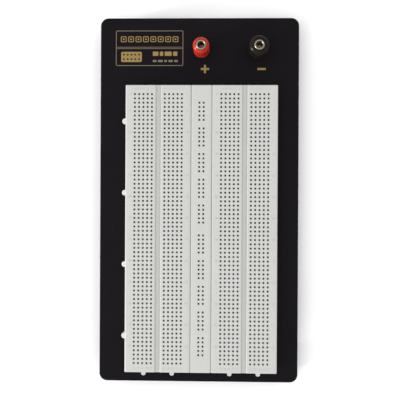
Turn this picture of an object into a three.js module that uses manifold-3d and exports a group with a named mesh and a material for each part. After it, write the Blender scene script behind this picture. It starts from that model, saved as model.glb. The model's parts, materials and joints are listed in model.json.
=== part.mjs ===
// Solderless breadboard on a painted metal base plate, with two screw-cap binding posts.
// Millimetres. +Z is up, +Y points to the end with the binding posts, and the origin is on the
// surface that the rubber feet stand on, under the centre of the plate.
import * as THREE from "three";
import { mergeVertices } from "three/addons/utils/BufferGeometryUtils.js";
import Module from "manifold-3d";

const wasm = await Module();
wasm.setup();

// ---- Driving dimensions ----

const PITCH = 2.54; // grid of the tie points
const FIT_GAP = 0.05; // air left between pieces that rest on each other
const MERGE_TOLERANCE = 1e-4; // vertices closer than this are one vertex
const ROUND_SEGMENTS = 32; // sides of a full turn on large round pieces
const SMALL_SEGMENTS = 24; // sides of a full turn on small round pieces
const CORNER_SEGMENTS = 3; // half the steps round an arc of an outline
const CUT_MARGIN = 1; // how far a cutting solid runs past the face it opens

const PLATE_WIDTH = 120;
const PLATE_LENGTH = 220;
const PLATE_THICKNESS = 1.5;
const PLATE_CORNER_RADIUS = 4.7;

const FOOT_HEIGHT = 11;
const FOOT_TOP_RADIUS = 8;
const FOOT_BOTTOM_RADIUS = 6.8;
const FOOT_EDGE_ROUND = 0.8;
const FOOT_DIMPLE_RADIUS = 2.4;
const FOOT_DIMPLE_DEPTH = 1.6;
const FOOT_INSET = 10; // from the plate's edges to a foot's centre

const TERMINAL_ROWS = 64;
const BANK_COLUMNS = 5;
const TRENCH_COLUMNS = 3; // pitches between the innermost columns of the two banks
const TERMINAL_WIDTH = 39;
const BUS_WIDTH = 12.3;
const STRIP_LENGTH = 171;
const STRIP_HEIGHT = 8.5;
const STRIP_CHAMFER = 0.7;
const STRIP_ROOF = 1.6; // plastic left above the contact pockets
const STRIP_GAP = 0.05; // between neighbouring strips
const STRIP_BLOCK_X = 1.65; // centre of the three strips on the plate
const STRIP_BLOCK_Y = -17.25;

const TRENCH_FLOOR_WIDTH = 3;
const TRENCH_DEPTH = 1.2;
const TRENCH_LIP = 0.35; // chamfer along the trench's upper edges

const PAD_THICKNESS = 0.7; // foam tape under each strip
const PAD_INSET = 0.6;

const SIDE_TAB = { width: 3.3, reach: 2.3, corner: 1.5 };
const SIDE_TAB_COUNT = 4;
const END_TAB = { width: 2.7, reach: 2.4, corner: 1.3 };
const END_TAB_OFFSET = 8.5; // from the middle of a terminal strip
const TAB_HEIGHT = 6;
const TAB_ROOT = 1; // how far a tab is sunk into its strip
const SLOT_CLEARANCE = 0.15; // all round a tab in its slot

const CLIP_LENGTH = 11.8; // one five-point spring clip
const CLIP_THICKNESS = 0.55;
const CLIP_HEIGHT = 5.6;
const CLIP_SPINE = 0.6;
const CLIP_LIFT = 0.4; // from the strip's underside to the clips
const POCKET_MARGIN = 1.1; // from the outer tie points to the pocket's wall

const BUS_GROUPS = 10;
const BUS_GROUP_SIZE = 5;
const BUS_GROUP_STEP = 6; // pitches from one group to the next
const BUS_BREAK = 1; // one extra pitch between the two halves of each rail
const RAIL_WIDTH = 1.7;
const RAIL_WALL = 0.3;
const RAIL_MARGIN = 0.8;
const RAIL_POCKET_WIDTH = 2;

const POST_Y = 90.8;
const POSTS = [
  { name: "red_post", x: 1.3, knobRadius: 4.95, color: 0xd2382b },
  { name: "black_post", x: 35.5, knobRadius: 5.95, color: 0x171718 },
];
const POST_HOLE_RADIUS = 4.1;
const COLLAR_HEIGHT = 3;
const COLLAR_ROUND = 0.6;
const COLLAR_BOSS_RADIUS = 3.9;
const COLLAR_BORE_RADIUS = 2.15;
const STUD_RADIUS = 3; // M6 upper thread
const STUD_TOP = 16; // above the plate's upper face
const STUD_FLANGE_RADIUS = 4.3;
const STUD_FLANGE_HEIGHT = 0.8;
const SOCKET_RADIUS = 2; // takes a 4 mm plug
const SOCKET_DEPTH = 11.6;
const SOCKET_LEAD_IN = 0.25;
const WIRE_HOLE_RADIUS = 1.1;
const WIRE_HOLE_HEIGHT = 5.8;
const TAIL_RADIUS = 2; // M4 lower thread
const TAIL_LENGTH = 9.4; // below the plate's lower face
const KNOB_BOTTOM = 3.95;
const KNOB_TOP = 15.5;
const KNOB_CHAMFER = 1.5;
const KNOB_FOOT_CHAMFER = 0.4;
const KNOB_FLUTES = 20;
const FLUTE_DEPTH = 0.3;
const FLUTE_SAMPLES = 4; // outline points in one flute
const KNOB_MOUTH_RADIUS = 3.25;
const KNOB_CAVITY_RADIUS = 4.12;
const INSERT_RADIUS = 4;
const INSERT_BORE_RADIUS = 3.1;
const INSERT_BOTTOM = 5.2;
const INSERT_TOP = 13.2;
const INSERT_END_GAP = 0.2; // between the insert and the top of its cavity

const BUSH_RADIUS = 5.4;
const BUSH_HEIGHT = 1.9;
const WASHER_RADIUS = 4;
const WASHER_HEIGHT = 0.6;
const NUT_SIDES = 6;
const NUT_ACROSS_FLATS = 7;
const NUT_HEIGHT = 2.8;
const LOCK_NUT_HEIGHT = 2;
const LUG_RADIUS = 3.6;
const LUG_THICKNESS = 0.5;
const LUG_TAIL_WIDTH = 3;
const LUG_TAIL_LENGTH = 13; // from the stud's axis
const LUG_TAIL_ROOT = 1; // how far the tail is sunk into the eyelet
const LUG_EYE_RADIUS = 0.9;
const TAIL_CLEARANCE = 0.1;

// ---- Derived sizes ----

const PLATE_TOP = FOOT_HEIGHT + PLATE_THICKNESS;
const ROW_SPAN = (TERMINAL_ROWS - 1) * PITCH;
const BANK_SPAN = (BANK_COLUMNS - 1) * PITCH;
const INNER_COLUMN_X = (TRENCH_COLUMNS * PITCH) / 2;
const BANK_CENTRE_X = INNER_COLUMN_X + BANK_SPAN / 2;
const TERMINAL_X = (TERMINAL_WIDTH + BUS_WIDTH) / 2 + STRIP_GAP;
const STRIP_LIFT = PAD_THICKNESS + 2 * FIT_GAP;
const POCKET_HEIGHT = STRIP_HEIGHT - STRIP_ROOF;
const RAIL_SPAN = (BUS_GROUPS / 2 - 1) * BUS_GROUP_STEP + BUS_GROUP_SIZE - 1;
const RAIL_LENGTH = RAIL_SPAN * PITCH + 2 * RAIL_MARGIN;
const RAIL_OFFSET_Y = ((RAIL_SPAN + BUS_GROUP_STEP - BUS_GROUP_SIZE + 1 + BUS_BREAK) / 2) * PITCH;

// ---- Solids ----

// A three.js geometry as a closed manifold-3d solid.
function solidOf(geometry) {
  const bare = geometry.clone();
  bare.deleteAttribute("normal");
  bare.deleteAttribute("uv");
  const merged = mergeVertices(bare, MERGE_TOLERANCE);
  const vertProperties = merged.attributes.position.array;
  const triVerts = new Uint32Array(merged.index.array);
  return new wasm.Manifold(new wasm.Mesh({ numProp: 3, vertProperties, triVerts }));
}

// A manifold-3d solid as a flat-shaded three.js geometry.
function geometryOf(solid) {
  const mesh = solid.getMesh();
  const geometry = new THREE.BufferGeometry();
  geometry.setAttribute("position", new THREE.BufferAttribute(mesh.vertProperties, 3));
  geometry.setIndex(new THREE.BufferAttribute(mesh.triVerts, 1));
  const flat = geometry.toNonIndexed();
  flat.computeVertexNormals();
  return flat;
}

// A flat outline in XY raised along Z from `bottom` to `top`.
function prism(shape, bottom, top) {
  const geometry = new THREE.ExtrudeGeometry(shape, {
    depth: top - bottom,
    bevelEnabled: false,
    curveSegments: CORNER_SEGMENTS,
  });
  return geometry.translate(0, 0, bottom);
}

// An outline in XZ drawn along the whole of `length` in Y, centred.
function alongY(shape, length) {
  const turn = new THREE.Matrix4().makeBasis(
    new THREE.Vector3(1, 0, 0),
    new THREE.Vector3(0, 0, 1),
    new THREE.Vector3(0, -1, 0),
  );
  return prism(shape, -length / 2, length / 2).applyMatrix4(turn);
}

// An outline in YZ drawn along the whole of `length` in X, centred.
function alongX(shape, length) {
  const turn = new THREE.Matrix4().makeBasis(
    new THREE.Vector3(0, 1, 0),
    new THREE.Vector3(0, 0, 1),
    new THREE.Vector3(1, 0, 0),
  );
  return prism(shape, -length / 2, length / 2).applyMatrix4(turn);
}

// A profile of [radius, height] points turned about Z. It starts and ends on the axis,
// or its last point is its first.
function turned(profile, segments) {
  const points = profile.map(([radius, height]) => new THREE.Vector2(radius, height));
  return new THREE.LatheGeometry(points, segments).rotateX(Math.PI / 2);
}

function cylinder(radius, bottom, top, segments) {
  return turned([[0, bottom], [radius, bottom], [radius, top], [0, top]], segments);
}

// A cylinder for cutting a hole that opens at both ends.
function through(radius, bottom, top, segments) {
  return cylinder(radius, bottom - CUT_MARGIN, top + CUT_MARGIN, segments);
}

function ring(inner, outer, bottom, top, segments) {
  return turned(
    [[inner, bottom], [outer, bottom], [outer, top], [inner, top], [inner, bottom]],
    segments,
  );
}

function box(width, length, bottom, top, x = 0, y = 0) {
  const geometry = new THREE.BoxGeometry(width, length, top - bottom);
  return geometry.translate(x, y, (bottom + top) / 2);
}

function polygon(points) {
  return new THREE.Shape(points.map(([x, y]) => new THREE.Vector2(x, y)));
}

function circle(radius) {
  const hole = new THREE.Path();
  hole.absarc(0, 0, radius, 0, 2 * Math.PI, false);
  return hole;
}

function roundedRectangle(width, length, radius) {
  const x = width / 2 - radius;
  const y = length / 2 - radius;
  const shape = new THREE.Shape();
  shape.absarc(x, y, radius, 0, Math.PI / 2, false);
  shape.absarc(-x, y, radius, Math.PI / 2, Math.PI, false);
  shape.absarc(-x, -y, radius, Math.PI, 1.5 * Math.PI, false);
  shape.absarc(x, -y, radius, 1.5 * Math.PI, 2 * Math.PI, false);
  shape.closePath();
  return shape;
}

// ---- Base plate and feet ----

function plateGeometry() {
  const shape = roundedRectangle(PLATE_WIDTH, PLATE_LENGTH, PLATE_CORNER_RADIUS);
  let plate = solidOf(prism(shape, FOOT_HEIGHT, PLATE_TOP));
  for (const post of POSTS) {
    const hole = through(POST_HOLE_RADIUS, FOOT_HEIGHT, PLATE_TOP, SMALL_SEGMENTS);
    plate = plate.subtract(solidOf(hole.translate(post.x, POST_Y, 0)));
  }
  return geometryOf(plate);
}

function footGeometry() {
  const top = FOOT_HEIGHT - FIT_GAP;
  return turned(
    [
      [0, FOOT_DIMPLE_DEPTH],
      [FOOT_DIMPLE_RADIUS, FOOT_DIMPLE_DEPTH],
      [FOOT_DIMPLE_RADIUS, 0],
      [FOOT_BOTTOM_RADIUS - FOOT_EDGE_ROUND, 0],
      [FOOT_BOTTOM_RADIUS, FOOT_EDGE_ROUND],
      [FOOT_TOP_RADIUS, top],
      [0, top],
    ],
    ROUND_SEGMENTS,
  );
}

// ---- Plastic strips ----

// The cross-section of a strip, with a chamfer along both upper edges.
function stripProfile(width) {
  const half = width / 2;
  return polygon([
    [-half, 0],
    [half, 0],
    [half, STRIP_HEIGHT - STRIP_CHAMFER],
    [half - STRIP_CHAMFER, STRIP_HEIGHT],
    [STRIP_CHAMFER - half, STRIP_HEIGHT],
    [-half, STRIP_HEIGHT - STRIP_CHAMFER],
  ]);
}

function trenchProfile() {
  const floor = TRENCH_FLOOR_WIDTH / 2;
  const lip = floor + TRENCH_LIP;
  return polygon([
    [-floor, STRIP_HEIGHT - TRENCH_DEPTH],
    [floor, STRIP_HEIGHT - TRENCH_DEPTH],
    [floor, STRIP_HEIGHT - TRENCH_LIP],
    [lip, STRIP_HEIGHT],
    [lip, STRIP_HEIGHT + CUT_MARGIN],
    [-lip, STRIP_HEIGHT + CUT_MARGIN],
    [-lip, STRIP_HEIGHT],
    [-floor, STRIP_HEIGHT - TRENCH_LIP],
  ]);
}

// A block with its four upper edges chamfered.
function stripBlock(width) {
  const across = solidOf(alongY(stripProfile(width), STRIP_LENGTH));
  const along = solidOf(alongX(stripProfile(STRIP_LENGTH), width));
  return across.intersect(along);
}

// The plan of a tab that points along +X from x = 0. `grow` widens it all round, for its slot.
function tabPlan(tab, grow) {
  const half = tab.width / 2 + grow;
  const reach = tab.reach + grow;
  const corner = tab.corner + grow;
  const shape = new THREE.Shape();
  shape.moveTo(-TAB_ROOT, -half);
  shape.lineTo(reach - corner, -half);
  shape.absarc(reach - corner, corner - half, corner, -Math.PI / 2, 0, false);
  shape.absarc(reach - corner, half - corner, corner, 0, Math.PI / 2, false);
  shape.lineTo(-TAB_ROOT, half);
  shape.closePath();
  return shape;
}

// Where the tabs sit along a strip's side.
function sideTabPlaces() {
  const step = STRIP_LENGTH / SIDE_TAB_COUNT;
  return Array.from({ length: SIDE_TAB_COUNT }, (_, i) => (i + 0.5) * step - STRIP_LENGTH / 2);
}

// Tabs on the left side, and slots for a neighbour's tabs in the right side.
function withSideTabs(strip, width) {
  const half = width / 2;
  let made = strip;
  for (const y of sideTabPlaces()) {
    const tab = prism(tabPlan(SIDE_TAB, 0), 0, TAB_HEIGHT);
    const slot = prism(tabPlan(SIDE_TAB, SLOT_CLEARANCE), -CUT_MARGIN, TAB_HEIGHT + SLOT_CLEARANCE);
    made = made.add(solidOf(tab.rotateZ(Math.PI).translate(-half, y, 0)));
    made = made.subtract(solidOf(slot.rotateZ(Math.PI).translate(half, y, 0)));
  }
  return made;
}

// Tabs on the end away from the posts, and slots in the other end.
function withEndTabs(strip) {
  const half = STRIP_LENGTH / 2;
  let made = strip;
  for (const x of [-END_TAB_OFFSET, END_TAB_OFFSET]) {
    const tab = prism(tabPlan(END_TAB, 0), 0, TAB_HEIGHT);
    const slot = prism(tabPlan(END_TAB, SLOT_CLEARANCE), -CUT_MARGIN, TAB_HEIGHT + SLOT_CLEARANCE);
    made = made.add(solidOf(tab.rotateZ(-Math.PI / 2).translate(x, -half, 0)));
    made = made.subtract(solidOf(slot.rotateZ(-Math.PI / 2).translate(x, half, 0)));
  }
  return made;
}

function terminalStripGeometry() {
  const trench = solidOf(alongY(trenchProfile(), STRIP_LENGTH + 2 * CUT_MARGIN));
  let strip = stripBlock(TERMINAL_WIDTH).subtract(trench);
  strip = withEndTabs(withSideTabs(strip, TERMINAL_WIDTH));
  for (const side of [-1, 1]) {
    const width = BANK_SPAN + 2 * POCKET_MARGIN;
    const length = ROW_SPAN + 2 * POCKET_MARGIN;
    const pocket = box(width, length, -CUT_MARGIN, POCKET_HEIGHT, side * BANK_CENTRE_X);
    strip = strip.subtract(solidOf(pocket));
  }
  return geometryOf(strip);
}

function busStripGeometry() {
  let strip = withSideTabs(stripBlock(BUS_WIDTH), BUS_WIDTH);
  const length = RAIL_LENGTH + 2 * FIT_GAP;
  for (const place of railPlaces()) {
    const pocket = box(RAIL_POCKET_WIDTH, length, -CUT_MARGIN, POCKET_HEIGHT, place.x, place.y);
    strip = strip.subtract(solidOf(pocket));
  }
  return geometryOf(strip);
}

function padGeometry(width) {
  const top = FIT_GAP + PAD_THICKNESS;
  return box(width - 2 * PAD_INSET, STRIP_LENGTH - 2 * PAD_INSET, FIT_GAP, top);
}

// ---- Contacts ----

// The y of a terminal strip's row, counted from the end away from the posts.
function rowY(row) {
  return (row - (TERMINAL_ROWS - 1) / 2) * PITCH;
}

// A bank of five-point clips, side by side, joined by a thin spine along one end.
function clipBankGeometry() {
  const back = -CLIP_LENGTH / 2;
  const front = CLIP_LENGTH / 2;
  const spine = back + CLIP_SPINE;
  const half = CLIP_THICKNESS / 2;
  const last = TERMINAL_ROWS - 1;
  const outline = [[back, rowY(0) - half]];
  for (let row = 0; row <= last; row++) {
    outline.push([front, rowY(row) - half], [front, rowY(row) + half]);
    if (row < last) {
      outline.push([spine, rowY(row) + half], [spine, rowY(row + 1) - half]);
    }
  }
  outline.push([back, rowY(last) + half]);
  return prism(polygon(outline), CLIP_LIFT, CLIP_LIFT + CLIP_HEIGHT);
}

// The four places of the bus rails: two columns, each broken in the middle.
function railPlaces() {
  const places = [];
  for (const [column, x] of [["left", -PITCH / 2], ["right", PITCH / 2]]) {
    for (const [half, y] of [["lower", -RAIL_OFFSET_Y], ["upper", RAIL_OFFSET_Y]]) {
      places.push({ name: `bus_rail_${column}_${half}`, x, y });
    }
  }
  return places;
}

// A spring channel that grips wires from both sides, open at the top.
function railGeometry() {
  const half = RAIL_WIDTH / 2;
  const top = CLIP_LIFT + CLIP_HEIGHT;
  const channel = polygon([
    [-half, CLIP_LIFT],
    [half, CLIP_LIFT],
    [half, top],
    [half - RAIL_WALL, top],
    [half - RAIL_WALL, CLIP_LIFT + RAIL_WALL],
    [RAIL_WALL - half, CLIP_LIFT + RAIL_WALL],
    [RAIL_WALL - half, top],
    [-half, top],
  ]);
  return alongY(channel, RAIL_LENGTH);
}

// ---- Binding posts: heights are above the plate's upper face ----

function collarGeometry(radius) {
  return turned(
    [
      [COLLAR_BORE_RADIUS, -PLATE_THICKNESS],
      [COLLAR_BOSS_RADIUS, -PLATE_THICKNESS],
      [COLLAR_BOSS_RADIUS, FIT_GAP],
      [radius, FIT_GAP],
      [radius, COLLAR_HEIGHT - COLLAR_ROUND],
      [radius - COLLAR_ROUND, COLLAR_HEIGHT],
      [COLLAR_BORE_RADIUS, COLLAR_HEIGHT],
      [COLLAR_BORE_RADIUS, -PLATE_THICKNESS],
    ],
    ROUND_SEGMENTS,
  );
}

function studGeometry() {
  const tailEnd = -PLATE_THICKNESS - TAIL_LENGTH;
  const flange = COLLAR_HEIGHT + FIT_GAP;
  const socketFloor = STUD_TOP - SOCKET_DEPTH;
  const stud = turned(
    [
      [0, tailEnd],
      [TAIL_RADIUS, tailEnd],
      [TAIL_RADIUS, flange],
      [STUD_FLANGE_RADIUS, flange],
      [STUD_FLANGE_RADIUS, flange + STUD_FLANGE_HEIGHT],
      [STUD_RADIUS, flange + STUD_FLANGE_HEIGHT],
      [STUD_RADIUS, STUD_TOP - SOCKET_LEAD_IN],
      [STUD_RADIUS - SOCKET_LEAD_IN, STUD_TOP],
      [SOCKET_RADIUS + SOCKET_LEAD_IN, STUD_TOP],
      [SOCKET_RADIUS, STUD_TOP - SOCKET_LEAD_IN],
      [SOCKET_RADIUS, socketFloor],
      [0, socketFloor],
    ],
    SMALL_SEGMENTS,
  );
  const wireHole = through(WIRE_HOLE_RADIUS, -STUD_RADIUS, STUD_RADIUS, SMALL_SEGMENTS / 2);
  wireHole.rotateY(Math.PI / 2).translate(0, 0, WIRE_HOLE_HEIGHT);
  return geometryOf(solidOf(stud).subtract(solidOf(wireHole)));
}

// The outline of a grip with shallow flutes all round.
function flutedOutline(radius) {
  const samples = KNOB_FLUTES * FLUTE_SAMPLES;
  const points = [];
  for (let i = 0; i < samples; i++) {
    const angle = (i / samples) * 2 * Math.PI;
    const dip = (FLUTE_DEPTH * (1 - Math.cos(KNOB_FLUTES * angle))) / 2;
    points.push([(radius - dip) * Math.cos(angle), (radius - dip) * Math.sin(angle)]);
  }
  return polygon(points);
}

function knobGeometry(radius) {
  const grip = solidOf(prism(flutedOutline(radius), KNOB_BOTTOM, KNOB_TOP));
  const edges = turned(
    [
      [0, KNOB_BOTTOM],
      [radius - KNOB_FOOT_CHAMFER, KNOB_BOTTOM],
      [radius + FIT_GAP, KNOB_BOTTOM + KNOB_FOOT_CHAMFER + FIT_GAP],
      [radius + FIT_GAP, KNOB_TOP - KNOB_CHAMFER - FIT_GAP],
      [radius - KNOB_CHAMFER, KNOB_TOP],
      [0, KNOB_TOP],
    ],
    ROUND_SEGMENTS,
  );
  const ceiling = INSERT_TOP + INSERT_END_GAP;
  const cavity = cylinder(KNOB_CAVITY_RADIUS, KNOB_BOTTOM - CUT_MARGIN, ceiling, SMALL_SEGMENTS);
  const mouth = through(KNOB_MOUTH_RADIUS, ceiling, KNOB_TOP, SMALL_SEGMENTS);
  const knob = grip.intersect(solidOf(edges)).subtract(solidOf(cavity));
  return geometryOf(knob.subtract(solidOf(mouth)));
}

function hexagon(acrossFlats) {
  const corner = acrossFlats / 2 / Math.cos(Math.PI / NUT_SIDES);
  const points = [];
  for (let i = 0; i < NUT_SIDES; i++) {
    const angle = (i / NUT_SIDES) * 2 * Math.PI;
    points.push([corner * Math.cos(angle), corner * Math.sin(angle)]);
  }
  return polygon(points);
}

function nutGeometry(bottom, top) {
  const bore = through(TAIL_RADIUS + TAIL_CLEARANCE, bottom, top, SMALL_SEGMENTS);
  const body = solidOf(prism(hexagon(NUT_ACROSS_FLATS), bottom, top));
  return geometryOf(body.subtract(solidOf(bore)));
}

// A flat eyelet whose tail points away from the posts' end of the plate.
function lugGeometry(bottom, top) {
  const bore = TAIL_RADIUS + TAIL_CLEARANCE;
  const half = LUG_TAIL_WIDTH / 2;
  const root = LUG_TAIL_ROOT - LUG_RADIUS;
  const eyelet = solidOf(ring(bore, LUG_RADIUS, bottom, top, SMALL_SEGMENTS));
  const tail = new THREE.Shape();
  tail.moveTo(-half, root);
  tail.lineTo(-half, half - LUG_TAIL_LENGTH);
  tail.absarc(0, half - LUG_TAIL_LENGTH, half, Math.PI, 2 * Math.PI, false);
  tail.lineTo(half, root);
  tail.closePath();
  const eye = through(LUG_EYE_RADIUS, bottom, top, SMALL_SEGMENTS / 2);
  eye.translate(0, half - LUG_TAIL_LENGTH, 0);
  return geometryOf(eyelet.add(solidOf(prism(tail, bottom, top))).subtract(solidOf(eye)));
}

// Bottom and top heights of the pieces stacked on the tail, from the plate downwards.
function tailStack() {
  const heights = [BUSH_HEIGHT, WASHER_HEIGHT, NUT_HEIGHT, LUG_THICKNESS, LOCK_NUT_HEIGHT];
  let under = -PLATE_THICKNESS;
  return heights.map((height) => {
    const top = under - FIT_GAP;
    under = top - height;
    return { bottom: under, top };
  });
}

// ---- Finishes ----

function paint() {
  return new THREE.MeshStandardMaterial({ color: 0x1e1b1f, roughness: 0.5, metalness: 0 });
}

function whiteAbs() {
  return new THREE.MeshStandardMaterial({ color: 0xd2d3cf, roughness: 0.45, metalness: 0 });
}

function foam() {
  return new THREE.MeshStandardMaterial({ color: 0xe4e2da, roughness: 0.95, metalness: 0 });
}

function springBronze() {
  return new THREE.MeshStandardMaterial({ color: 0xb9b4a6, roughness: 0.35, metalness: 0.9 });
}

function nickel() {
  return new THREE.MeshStandardMaterial({ color: 0xc8c3b6, roughness: 0.25, metalness: 1 });
}

function brass() {
  return new THREE.MeshStandardMaterial({ color: 0xb59a58, roughness: 0.3, metalness: 1 });
}

function rubber() {
  return new THREE.MeshStandardMaterial({ color: 0x1a1a1a, roughness: 0.85, metalness: 0 });
}

function knobPlastic(color) {
  return new THREE.MeshStandardMaterial({ color, roughness: 0.3, metalness: 0 });
}

// ---- Assembly ----

function piece(name, geometry, material, x = 0, y = 0, z = 0) {
  const mesh = new THREE.Mesh(geometry, material);
  mesh.name = name;
  mesh.position.set(x, y, z);
  return mesh;
}

function makeBase() {
  const base = new THREE.Group();
  base.add(piece("base_plate", plateGeometry(), paint()));
  const x = PLATE_WIDTH / 2 - FOOT_INSET;
  const y = PLATE_LENGTH / 2 - FOOT_INSET;
  for (const [end, footY] of [["front", -y], ["rear", y]]) {
    for (const [side, footX] of [["left", -x], ["right", x]]) {
      base.add(piece(`foot_${end}_${side}`, footGeometry(), rubber(), footX, footY));
    }
  }
  return base;
}

function makeTerminalStrip(side, x) {
  const strip = new THREE.Group();
  strip.position.set(x, 0, 0);
  strip.add(piece(`adhesive_pad_${side}`, padGeometry(TERMINAL_WIDTH), foam()));
  const housing = terminalStripGeometry();
  strip.add(piece(`terminal_strip_${side}`, housing, whiteAbs(), 0, 0, STRIP_LIFT));
  for (const [bank, bankX] of [["a_e", -BANK_CENTRE_X], ["f_j", BANK_CENTRE_X]]) {
    const clips = piece(`clips_${side}_${bank}`, clipBankGeometry(), springBronze());
    clips.position.set(bankX, 0, STRIP_LIFT);
    strip.add(clips);
  }
  return strip;
}

function makeBusStrip() {
  const strip = new THREE.Group();
  strip.add(piece("adhesive_pad_bus", padGeometry(BUS_WIDTH), foam()));
  strip.add(piece("bus_strip", busStripGeometry(), whiteAbs(), 0, 0, STRIP_LIFT));
  for (const place of railPlaces()) {
    const rail = piece(place.name, railGeometry(), springBronze());
    rail.position.set(place.x, place.y, STRIP_LIFT);
    strip.add(rail);
  }
  return strip;
}

function makePost({ name, x, knobRadius, color }) {
  const [bush, washer, nut, lug, lockNut] = tailStack();
  const bore = TAIL_RADIUS + TAIL_CLEARANCE;
  const insert = ring(INSERT_BORE_RADIUS, INSERT_RADIUS, INSERT_BOTTOM, INSERT_TOP, SMALL_SEGMENTS);
  const bushRing = ring(bore, BUSH_RADIUS, bush.bottom, bush.top, ROUND_SEGMENTS);
  const washerRing = ring(bore, WASHER_RADIUS, washer.bottom, washer.top, SMALL_SEGMENTS);
  const post = new THREE.Group();
  post.position.set(x, POST_Y, PLATE_TOP);
  post.add(piece(`${name}_stud`, studGeometry(), nickel()));
  post.add(piece(`${name}_collar`, collarGeometry(knobRadius), knobPlastic(color)));
  post.add(piece(`${name}_knob`, knobGeometry(knobRadius), knobPlastic(color)));
  post.add(piece(`${name}_knob_insert`, insert, brass()));
  post.add(piece(`${name}_bush`, bushRing, knobPlastic(color)));
  post.add(piece(`${name}_washer`, washerRing, nickel()));
  post.add(piece(`${name}_nut`, nutGeometry(nut.bottom, nut.top), nickel()));
  post.add(piece(`${name}_lug`, lugGeometry(lug.bottom, lug.top), nickel()));
  post.add(piece(`${name}_lock_nut`, nutGeometry(lockNut.bottom, lockNut.top), nickel()));
  return post;
}

function makeBreadboard() {
  const board = new THREE.Group();
  board.add(makeBase());
  const strips = new THREE.Group();
  strips.position.set(STRIP_BLOCK_X, STRIP_BLOCK_Y, PLATE_TOP);
  strips.add(makeTerminalStrip("left", -TERMINAL_X));
  strips.add(makeBusStrip());
  strips.add(makeTerminalStrip("right", TERMINAL_X));
  board.add(strips);
  for (const post of POSTS) {
    board.add(makePost(post));
  }
  return board;
}

export default makeBreadboard();
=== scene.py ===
"""Looks of the solderless breadboard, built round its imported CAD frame.

Sizes are in millimetres. Places come from the boxes of the CAD nodes, so each fine piece lies where
its node lies. A mesh is made in millimetres and scaled to metres as it becomes an object.
"""
import json
import math
from functools import cache

import bmesh
import bpy
import numpy as np
from mathutils import Matrix, Vector

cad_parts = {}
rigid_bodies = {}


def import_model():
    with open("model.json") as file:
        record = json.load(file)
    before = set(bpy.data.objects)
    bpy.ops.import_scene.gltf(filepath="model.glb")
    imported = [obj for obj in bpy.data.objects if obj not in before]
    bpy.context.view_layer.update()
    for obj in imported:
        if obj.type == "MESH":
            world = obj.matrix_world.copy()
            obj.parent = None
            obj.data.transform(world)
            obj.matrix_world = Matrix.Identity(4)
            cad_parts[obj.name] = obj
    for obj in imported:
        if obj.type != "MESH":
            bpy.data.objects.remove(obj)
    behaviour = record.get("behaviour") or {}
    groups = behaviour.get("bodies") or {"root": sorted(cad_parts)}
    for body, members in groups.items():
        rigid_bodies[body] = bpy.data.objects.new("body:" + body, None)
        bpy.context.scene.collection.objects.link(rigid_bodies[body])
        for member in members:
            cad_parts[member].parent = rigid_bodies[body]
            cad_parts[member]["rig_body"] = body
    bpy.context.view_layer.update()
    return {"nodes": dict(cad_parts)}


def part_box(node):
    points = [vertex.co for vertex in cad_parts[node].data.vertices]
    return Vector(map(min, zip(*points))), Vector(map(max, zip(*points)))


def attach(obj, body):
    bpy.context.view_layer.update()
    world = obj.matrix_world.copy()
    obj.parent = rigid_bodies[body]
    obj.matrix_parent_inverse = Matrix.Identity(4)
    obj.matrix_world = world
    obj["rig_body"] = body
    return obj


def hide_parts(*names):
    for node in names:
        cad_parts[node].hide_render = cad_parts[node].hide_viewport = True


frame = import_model()

# ---- Driving sizes, in millimetres ----

MM = 0.001
PITCH = 2.54

EDGE_ROUND = 0.7  # radius along the upper edges of a strip
EDGE_STEP = EDGE_ROUND * (1 - math.tan(math.pi / 8))  # where a line meets that round at 22.5 degrees
ROOF = 1.6  # plastic above the contact slots
HOLE = 0.92  # side of a tie point's square shaft
FUNNEL = 1.24  # side of its funnel at the top
SLOT_WIDTH = 1.7  # contact slot under a row of five tie points
TRENCH_FLOOR = 3.0
TRENCH_DEPTH = 1.2
TRENCH_LIP = 0.35

TERMINAL_ROWS = 64
BANK_COLUMNS = 5
TRENCH_COLUMNS = 3
BUS_GROUPS = 10
BUS_GROUP_SIZE = 5
BUS_GROUP_STEP = 6
BUS_FIRST_ROW = 2

SIDE_TAB_WIDTH = 3.3
SIDE_TAB_REACH = 2.3
SIDE_TAB_CORNER = 1.5
SIDE_TAB_COUNT = 4
END_TAB_WIDTH = 2.7
END_TAB_REACH = 2.4
END_TAB_CORNER = 1.3
END_TAB_OFFSET = 8.5
TAB_STEPS = (0.0, 0.12, 0.42, 1.0)  # where lines cross a tab's round corner, as shares of its radius
TAB_HEIGHT = 6.0
TAB_DROP = 0.7  # fall of a tab's crowned top at its tip
TAB_CLEARANCE = 0.15
TOUCH = 1e-3  # two places this close are one
FAR = 1e3  # beyond everything

MARK_SIZE = 1.75  # moulded row numbers and column letters
MARK_RISE = 0.1
MARK_STEP = 5  # rows from one number to the next
MARK_OFFSET_X = 16.9
MARK_OFFSET_Y = 83.1

CLIP_LENGTH = 11.8
CLIP_BASE_WIDTH = 1.2
CLIP_METAL = 0.2
CLIP_LIFT = 0.4
FINGER_WIDTH = 1.7
FINGER_PATH = [(0.5, 0.5), (0.58, 2.0), (0.34, 3.6), (0.13, 4.75), (0.46, 5.9)]  # across, up

PLATE_CORNER = 4.7
PLATE_EDGE = 0.3
POST_HOLE = 4.1
FOOT_EDGE = 1.0
FOOT_DIMPLE = 2.4
FOOT_DIMPLE_DEPTH = 1.6
FOOT_DIMPLE_ROUND = 0.3
FOOT_RIM_ROUND = 0.4
FOOT_TOP_ROUND = 0.6
FOOT_BOTTOM = 6.8
PAD_CORNER = 0.8
PAD_EDGE = 0.12
PAD_POINT_STEP = 2.5  # from one point of a foam pad's outline to the next
PAD_SWING = 0.25  # how far the knife wandered in
PAD_WAVE = 0.9  # turn of that wave, in radians, from one point to the next

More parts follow.
